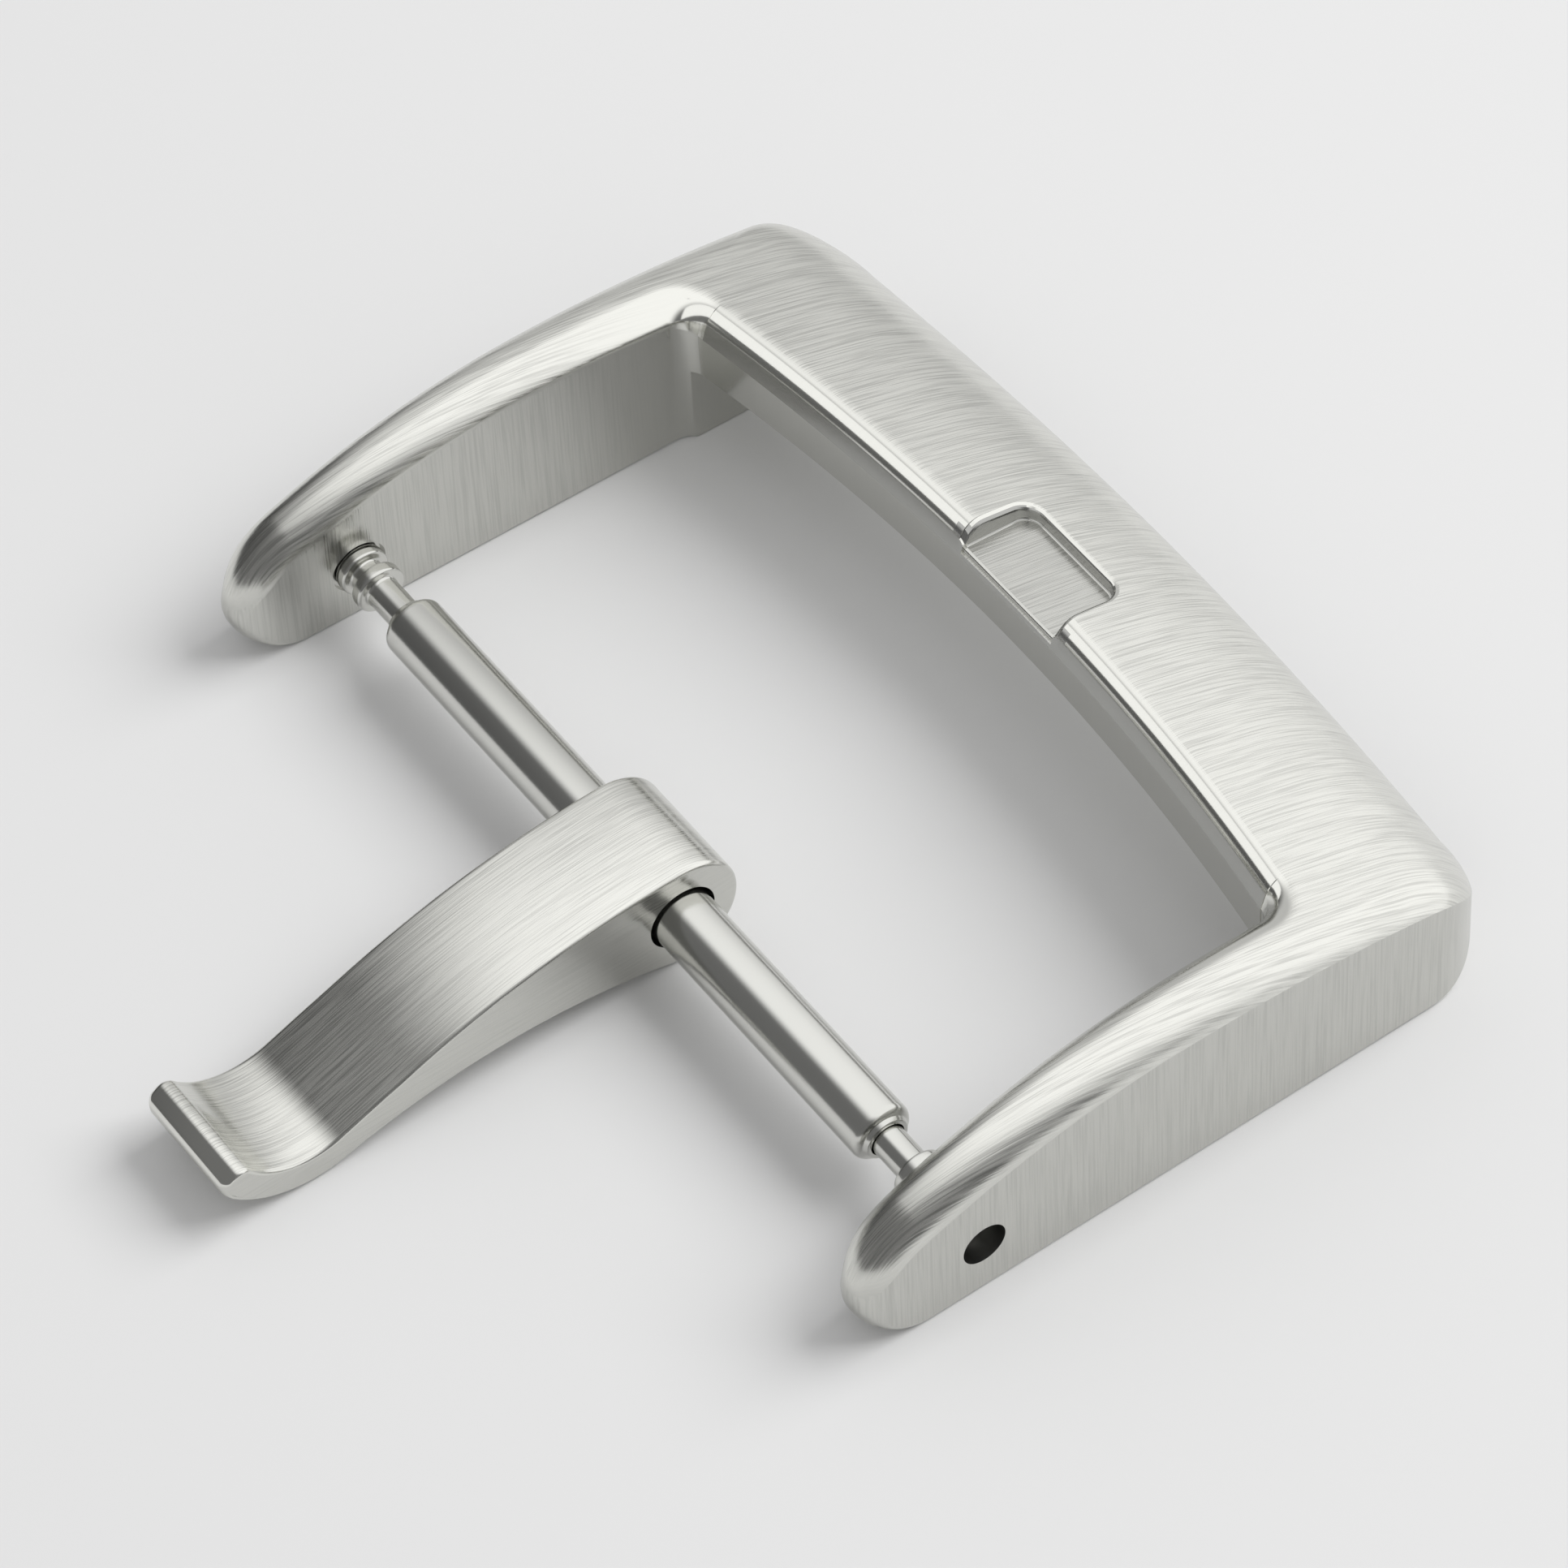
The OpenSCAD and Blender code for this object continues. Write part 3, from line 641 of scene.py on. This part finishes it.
def lip_cutter():
    """Takes the sharp edge off the notch's floor over the window: what lies outside a quarter round."""
    y_w = WINDOW_REACH + LIP_STEP
    outside, above = y_w - 0.6, NOTCH_FLOOR + 0.2
    a = np.radians(np.linspace(180, 90, 9))
    edge = np.array([y_w + LIP_R, NOTCH_FLOOR - LIP_R]) + LIP_R * unit(a)
    outline = np.concatenate([[[outside, above], [outside, NOTCH_FLOOR - LIP_R]], edge, [[y_w + LIP_R, above]]])
    return closed_tube(np.stack([
        np.concatenate([np.full((len(outline), 1), x), outline], 1) for x in (-NOTCH_HALF_W, NOTCH_HALF_W)
    ]))


def round_cutter(r, x0, x1, count=64):
    """A cylinder along the bar's axis."""
    a = 2 * np.pi * np.arange(count) / count
    ring = np.stack([0 * a, r * np.cos(a), BAR_H + r * np.sin(a)], -1)
    return closed_tube(np.stack([ring + [x0, 0, 0], ring + [x1, 0, 0]]))


def outward(piece):
    """Turns all faces of a closed piece outwards."""
    b = bmesh.new()
    b.from_mesh(piece.data)
    bmesh.ops.recalc_face_normals(b, faces=b.faces)
    b.to_mesh(piece.data)
    b.free()
    return piece


HOLE_R, SEAT_R, SEAT_L = 0.55, 0.70, 0.1
skin = frame_skin(18, 14, 10)
frame_piece = outward(mesh_object("frame_body", *closed_tube(skin)))
window_c_y = frame_stations(*STATIONS)[5][1]
frame_piece = cut_out(frame_piece, [
    outward(mesh_object("passage_cutter", *passage_cutter(window_c_y))),
    outward(mesh_object("notch_cutter", *notch_cutter())),
    outward(mesh_object("lip_cutter", *lip_cutter())),
    outward(mesh_object("right_hole_cutter", *round_cutter(HOLE_R, 9.0, 14.0))),
    outward(mesh_object("left_hole_cutter", *round_cutter(HOLE_R, -14.0, -9.0))),
    outward(mesh_object("right_seat_cutter", *round_cutter(SEAT_R, 9.0, half_strap + SEAT_L))),
    outward(mesh_object("left_seat_cutter", *round_cutter(SEAT_R, -half_strap - SEAT_L, -9.0))),
])


def settle(piece, sharp_degrees, material):
    """Moves a piece made in millimetres from the bar's axis to its place in metres, and shades it."""
    mesh = piece.data
    co = np.empty(len(mesh.vertices) * 3)
    mesh.vertices.foreach_get("co", co)
    co = (co.reshape(-1, 3) + [0, BAR_Y, 0]) * MM
    mesh.vertices.foreach_set("co", co.ravel())
    mesh.shade_smooth()
    mesh.set_sharp_from_angle(angle=np.radians(sharp_degrees))
    mesh.materials.clear()
    mesh.materials.append(material)
    mesh.update()
    return piece


def plain_metal(name, colour, roughness):
    """A metal of one colour and roughness."""
    material = plain_material(name, colour, roughness)
    material.node_tree.nodes["Principled BSDF"].inputs["Metallic"].default_value = 1.0
    return material


def face_table(piece):
    """The faces' middles, in millimetres from the bar's axis and the table, and their directions, as six rows."""
    middle = np.empty(len(piece.data.polygons) * 3)
    facing = np.empty_like(middle)
    piece.data.polygons.foreach_get("center", middle)
    piece.data.polygons.foreach_get("normal", facing)
    x, y, z = middle.reshape(-1, 3).T / MM
    return [x, y - BAR_Y, z, *facing.reshape(-1, 3).T]


# Painted shade: the holes are painted dark inside, the notch's walls and the bevel under the window's rim are painted
# darker than the brushed surface for the shade there, and the notch's floor is brushed and painted a little darker
# for its shade too.
settle(frame_piece, 13, satin_steel)
# Painted shade inside the arms' holes.
painted_bore_shade = plain_metal("painted_bore_shade", (0.20, 0.20, 0.19), 0.4)
# Painted shade on the notch's walls, and a painted dark line of shade on the bevel under the window's rim.
painted_shade_steel = plain_metal("painted_shade_steel", (0.40, 0.40, 0.385), 0.22)
# The notch's floor is brushed like the frame and painted darker, as shade in the recess.
painted_notch_shade_steel = brushed_metal("painted_notch_shade_steel", (0.60, 0.60, 0.57), 0.18, 0.30, *SATIN_BRUSH)
for finish in (painted_bore_shade, painted_shade_steel, painted_notch_shade_steel):
    frame_piece.data.materials.append(finish)
x, y_bar, z, nx, ny, nz = face_table(frame_piece)
in_bore = (np.hypot(y_bar, z - BAR_H) < HOLE_R + 0.01) & (abs(x) > half_strap) & (abs(nx) < 0.5)
in_notch = (abs(x) < NOTCH_HALF_W + 0.4) & (abs(y_bar - WINDOW_REACH - 1.1) < 1.2) & (z > NOTCH_FLOOR - 0.35)
notch_wall = in_notch & (z > notch_floor_z(y_bar) + 0.004) & (abs(nz) < 0.75) & ((ny < -0.3) | (abs(nx) > 0.3))
notch_floor = in_notch & (nz > 0.75) & (z < notch_floor_z(y_bar) + 0.03)
window_bevel = (y_bar > 8.3) & (abs(x) < 10.2) & (ny < -0.8) & (nz > 0.12) & (nz < 0.45) & (z > 2.6)
kind = in_bore + 2 * (notch_wall | window_bevel) + 3 * notch_floor
frame_piece.data.polygons.foreach_set("material_index", kind.astype(np.int32))


def smooth_step(v, low, high):
    """0 below low, 1 above high, and smooth between them."""
    t = np.clip((v - low) / (high - low), 0, 1)
    return t * t * (3 - 2 * t)


def set_polish(piece, values):
    """Keeps a share of polish for each face of the piece."""
    piece.data.attributes.new("polish", "FLOAT", "FACE").data.foreach_set("value", values.astype(np.float32))


# The rim round the window, the window's wall and the notch's walls are smooth; the arms are so only near the corners.
inward = np.where(abs(x) > 8.5, np.maximum(-ny, -nx * np.sign(x)), -ny)
polish = smooth_step(inward, 0.10, 0.26) * smooth_step(y_bar, 4.5, 8.5)
set_polish(frame_piece, np.where(in_notch & ((ny < -0.15) | (abs(nx) > 0.2)), 1.0, polish))
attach(frame_piece, "frame")
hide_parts("buckle_frame")

# Spring bar
# A drawn tube with a narrowed mouth at each end, and two turned end pins with a pair of collars each.
# All three are stainless steel, polished on the lathe. The pins' tips stand in the arms' holes.
TUBE_D, TUBE_WALL, CRIMP_L, PIN_TRAVEL, SHAFT_D = 1.5, 0.2, 0.32, 1.0, 0.8
COLLAR_D, COLLAR_T, GROOVE_L, TIP_L, GUIDE_L = 1.24, 0.32, 0.32, 0.85, 1.6
SLIDE_GAP, SEAT_GAP, COLLAR_GAP, HOLE_PLAY = 0.03, 0.02, 0.05, 0.08
pin_face = half_strap + SEAT_L - COLLAR_GAP
collar_in = pin_face - 2 * COLLAR_T - GROOVE_L
tube_half = collar_in - PIN_TRAVEL - SEAT_GAP
crimp_start = tube_half - CRIMP_L
guide_end = crimp_start - TUBE_WALL - SEAT_GAP
guide_start = guide_end - GUIDE_L
polished_steel = plain_metal("polished_steel", (0.66, 0.66, 0.63), 0.19)


def rounded(profile, radius, count=5):
    """A profile whose inner corners are cut by arcs: each corner's arc is a quadratic curve between two points
    on its sides, at the given radius or less than half of the shorter side away."""
    p = np.asarray(profile, float)
    before, after = p[:-2] - p[1:-1], p[2:] - p[1:-1]
    near, far = np.linalg.norm(before, axis=1), np.linalg.norm(after, axis=1)
    cut = np.minimum(radius, 0.45 * np.minimum(near, far))
    start = p[1:-1] + before / near[:, None] * cut[:, None]
    end = p[1:-1] + after / far[:, None] * cut[:, None]
    t = np.linspace(0, 1, count)[None, :, None]
    arcs = start[:, None] * (1 - t) ** 2 + 2 * p[1:-1][:, None] * t * (1 - t) + end[:, None] * t**2
    return np.concatenate([p[:1], arcs.reshape(-1, 2), p[-1:]])


def turned(name, profile, side, material, count=96):
    """A lathe-turned piece: a profile of [radius, place along the bar] carried round the bar's axis."""
    a = 2 * np.pi * np.arange(count) / count
    r, x = profile[:, :1], profile[:, 1:]
    points = np.stack([side * x + 0 * a, r * np.cos(a), BAR_H + r * np.sin(a)], -1)
    n = len(profile)
    i, j = np.meshgrid(np.arange(n - 1), np.arange(count), indexing="ij")
    k = (j + 1) % count
    faces = np.stack([i * count + j, i * count + k, (i + 1) * count + k, (i + 1) * count + j], -1).reshape(-1, 4)
    closed = bool(np.allclose(profile[0], profile[-1]))
    ends = [] if closed else [list(range(count))[::-1], [(n - 1) * count + q for q in range(count)]]
    piece = outward(welded(mesh_object(name, points.reshape(-1, 3), faces.tolist() + ends)))
    return settle(piece, 50, material)


def welded(piece):
    """Merges the points that lie on each other, such as the two ends of a closed profile."""
    b = bmesh.new()
    b.from_mesh(piece.data)
    bmesh.ops.remove_doubles(b, verts=b.verts, dist=1e-5)
    b.to_mesh(piece.data)
    b.free()
    return piece


bore_r, mouth_r = TUBE_D / 2 - TUBE_WALL, SHAFT_D / 2 + SLIDE_GAP
crimp_r = mouth_r + TUBE_WALL / 2
a = np.radians(np.linspace(0, 75, 8))
shoulder = np.stack([mix(crimp_r, TUBE_D / 2, np.cos(a)), mix(crimp_start, tube_half - CRIMP_L / 3, np.sin(a))], -1)
half_wall = np.concatenate([
    shoulder, [[crimp_r, tube_half], [mouth_r, tube_half], [mouth_r, crimp_start - TUBE_WALL / 2]],
    [[bore_r, crimp_start - TUBE_WALL]],
])
wall = np.concatenate([half_wall, half_wall[::-1] * [1, -1], half_wall[:1]])
tube = turned("bar_tube", rounded(wall, 0.02, 3), 1, polished_steel)
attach(tube, "spring_bar")
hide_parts("spring_bar_tube")

guide_r, tip_r = bore_r - SLIDE_GAP, HOLE_R - HOLE_PLAY
pin_profile = np.array([
    [0.0, guide_start], [guide_r, guide_start], [guide_r, guide_end],
    [SHAFT_D / 2, guide_end + guide_r - SHAFT_D / 2], [SHAFT_D / 2, collar_in],
    [COLLAR_D / 2, collar_in], [COLLAR_D / 2, collar_in + COLLAR_T],
    [SHAFT_D / 2, collar_in + COLLAR_T], [SHAFT_D / 2, pin_face - COLLAR_T],
    [COLLAR_D / 2, pin_face - COLLAR_T], [COLLAR_D / 2, pin_face],
    [tip_r, pin_face], [tip_r, pin_face + TIP_L], [0.0, pin_face + TIP_L],
])
pin_profile = rounded(pin_profile, 0.08, 6)
pin_profile[0, 0] = pin_profile[-1, 0] = 0.001
for side, name in ((-1, "left"), (1, "right")):
    pin = turned("bar_pin_" + name, pin_profile, side, polished_steel)
    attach(pin, "pin_" + name)
    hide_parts("end_pin_" + name)


# Spring
# A coil of drawn steel wire, hidden in the tube, pushes the two pins apart. It is made as two halves of one coil,
# each from the bar's middle to one pin.
WIRE_D, TURNS = 0.2, 22
spring_wire = plain_metal("spring_wire", (0.55, 0.55, 0.54), 0.3)
coil_r = bore_r - SLIDE_GAP - WIRE_D / 2
coil_reach = guide_start - SEAT_GAP - WIRE_D / 2


def coil_rings(side, rings_per_turn=24, wire_sides=8):
    """Half of the spring, from the bar's middle to one pin, as a circle of wire carried along a helix.

    The wire's middle keeps the coil's radius and moves evenly along the bar as it turns. Its circle is spanned by
    the direction away from the bar and by the one along the bar, which leans with the helix's rise.
    """
    f = side * np.linspace(0, 1, TURNS // 2 * rings_per_turn + 1)[:, None, None]
    turn = np.pi * TURNS * f
    rise = np.arctan(coil_reach / (np.pi * TURNS * coil_r))
    out = np.concatenate([0 * turn, np.cos(turn), np.sin(turn)], -1)
    lift = np.concatenate([np.cos(rise) + 0 * turn, np.sin(rise) * np.sin(turn), -np.sin(rise) * np.cos(turn)], -1)
    b = 2 * np.pi * np.arange(wire_sides)[None, :, None] / wire_sides
    middle = coil_r * out + np.concatenate([coil_reach * f, 0 * f, BAR_H + 0 * f], -1)
    return middle + WIRE_D / 2 * (np.cos(b) * out + np.sin(b) * lift)


for side, name in ((-1, "left"), (1, "right")):
    spring = outward(mesh_object("bar_spring_" + name, *closed_tube(coil_rings(side))))
    settle(spring, 60, spring_wire)
    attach(spring, "spring_bar")
    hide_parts("spring_bar_spring")
    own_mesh(spring)

# Tang
# One strip of brushed stainless steel: an eye bored for the bar, an arched back, and a tip that curls up and
# ends in a blunt, rounded edge. Its long edges are just broken by the brushing.
TANG_W, EYE_R, EYE_GAP, BACK_SLOPE, BELLY_R, TANG_EDGE_R = 3.1, 1.5, 0.1, 21.0, 15.0, 0.13
CURL_R, CURL_T, TIP_LEAN, TIP_FOOT_R, TIP_ROUND_R, TIP_CORNER_R, NOTCH_PLAY = 2.0, 0.83, 30.0, 0.25, 0.34, 0.3, 0.05
tang_reach = np.hypot(WINDOW_REACH + NOTCH_RUN - NOTCH_PLAY, NOTCH_FLOOR - BAR_H)
curl_out_r = CURL_R + CURL_T


def round_end_a(r, middle_r):
    """The angle, in degrees at the curl's centre, of a round of radius r that touches the leaning end of the tip."""
    return 180 + TIP_LEAN + np.degrees(np.arcsin(r / middle_r))


# The curl's centre is set by the tip of the solid, with a foot of TIP_FOOT_R; the finished tip is rounder.
foot_middle_r = curl_out_r - TIP_FOOT_R
foot_reach = TIP_FOOT_R - foot_middle_r * np.cos(np.radians(round_end_a(TIP_FOOT_R, foot_middle_r)))
curl_c = np.array([foot_reach - tang_reach, curl_out_r - BAR_H])
tip_back_a = round_end_a(TIP_ROUND_R, CURL_R + TIP_ROUND_R)
tip_foot_a = round_end_a(TIP_ROUND_R, curl_out_r - TIP_ROUND_R)
tip_back_c = curl_c + (CURL_R + TIP_ROUND_R) * unit(np.radians(tip_back_a))
tip_foot_c = curl_c + (curl_out_r - TIP_ROUND_R) * unit(np.radians(tip_foot_a))
slope_end = curl_c + CURL_R * unit(np.radians(BACK_SLOPE - 90))
slope_meet = slope_end[0] + (EYE_R - slope_end[1]) / np.tan(np.radians(BACK_SLOPE))
back_r = -slope_meet / np.tan(np.radians(BACK_SLOPE / 2))
curl_away = np.linalg.norm(curl_c)
belly_along = ((BELLY_R + EYE_R) ** 2 - (BELLY_R + curl_out_r) ** 2 + curl_away**2) / (2 * curl_away)
belly_down = np.sqrt((BELLY_R + EYE_R) ** 2 - belly_along**2)
curl_dir = curl_c / curl_away
belly_c = belly_along * curl_dir + belly_down * np.array([-curl_dir[1], curl_dir[0]])


def arc(centre, r, a0, a1, n):
    """Points of an arc between two angles in degrees, without its last point."""
    return centre + r * unit(np.radians(a0 + (a1 - a0) * np.arange(n) / n))


def tang_outline(e):
    """The tang's side view from arcs that touch each other, set in by e: eye, back, curl, tip and belly."""
    eye_a = np.degrees(np.arctan2(belly_c[1], belly_c[0]))
    from_curl = belly_c - curl_c
    curl_a = 360 + np.degrees(np.arctan2(from_curl[1], from_curl[0]))
    return np.concatenate([
        arc([0, 0], EYE_R - e, 0, 90, 24),
        arc([0, EYE_R - back_r], back_r - e, 90, 90 + BACK_SLOPE, 40),
        arc([0, EYE_R - back_r], back_r - e, 90 + BACK_SLOPE, 90 + BACK_SLOPE + 0.01, 1),
        arc(curl_c, CURL_R + e, 270 + BACK_SLOPE, tip_back_a, 36),
        arc(tip_back_c, TIP_ROUND_R - e, tip_back_a - 180, TIP_LEAN + 90, 8),
        arc(tip_back_c, TIP_ROUND_R - e, TIP_LEAN + 90, TIP_LEAN + 90.1, 1),
        arc(tip_foot_c, TIP_ROUND_R - e, TIP_LEAN + 90, tip_foot_a, 8),
        arc(curl_c, curl_out_r - e, tip_foot_a, curl_a, 30),
        arc(belly_c, BELLY_R + e, curl_a - 180, eye_a + 180, 40),
        arc([0, 0], EYE_R - e, eye_a, 0, 30),
    ])


layers = []
for sign in (-1, 1):
    for a in np.radians(np.linspace(0, 90, 6)):
        layers.append((sign * (TANG_W / 2 - TANG_EDGE_R * (1 - np.cos(a))), TANG_EDGE_R * (1 - np.sin(a))))
layers.sort()
rings = np.stack([
    np.concatenate([np.full((len(tang_outline(e)), 1), x), tang_outline(e) + [0, BAR_H]], 1) for x, e in layers
])
# The tip's corners are rounded, seen from above, by drawing its last rings in.
past = np.clip(rings[..., 1] + tang_reach - TIP_CORNER_R, None, 0)
rings[..., 0] *= 1 - (TIP_CORNER_R - np.sqrt(np.maximum(TIP_CORNER_R**2 - past**2, 0))) / (TANG_W / 2)
# The last number paints the tang's steep sides darker, as painted shade.
tang_steel = brushed_metal(
    "tang_steel", (0.77, 0.77, 0.73), 0.13, 0.25, 0.78, 0.24, 30000.0, 0.0, (600.0, 600.0, 20000.0), 0.4, 0.82
)
tang_piece = outward(mesh_object("tang_body", *closed_tube(rings)))
eye_cutter = outward(mesh_object("eye_cutter", *round_cutter(TUBE_D / 2 + EYE_GAP, -TANG_W, TANG_W, 96)))
tang_piece = cut_out(tang_piece, [eye_cutter])
settle(tang_piece, 40, tang_steel)
x, y_bar, z, nx, ny, nz = face_table(tang_piece)
at_tip = smooth_step(-y_bar, tang_reach - 1.0, tang_reach - 0.4)
set_polish(tang_piece, at_tip * smooth_step(-ny, 0.1, 0.4))
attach(tang_piece, "tang")
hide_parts("tang")
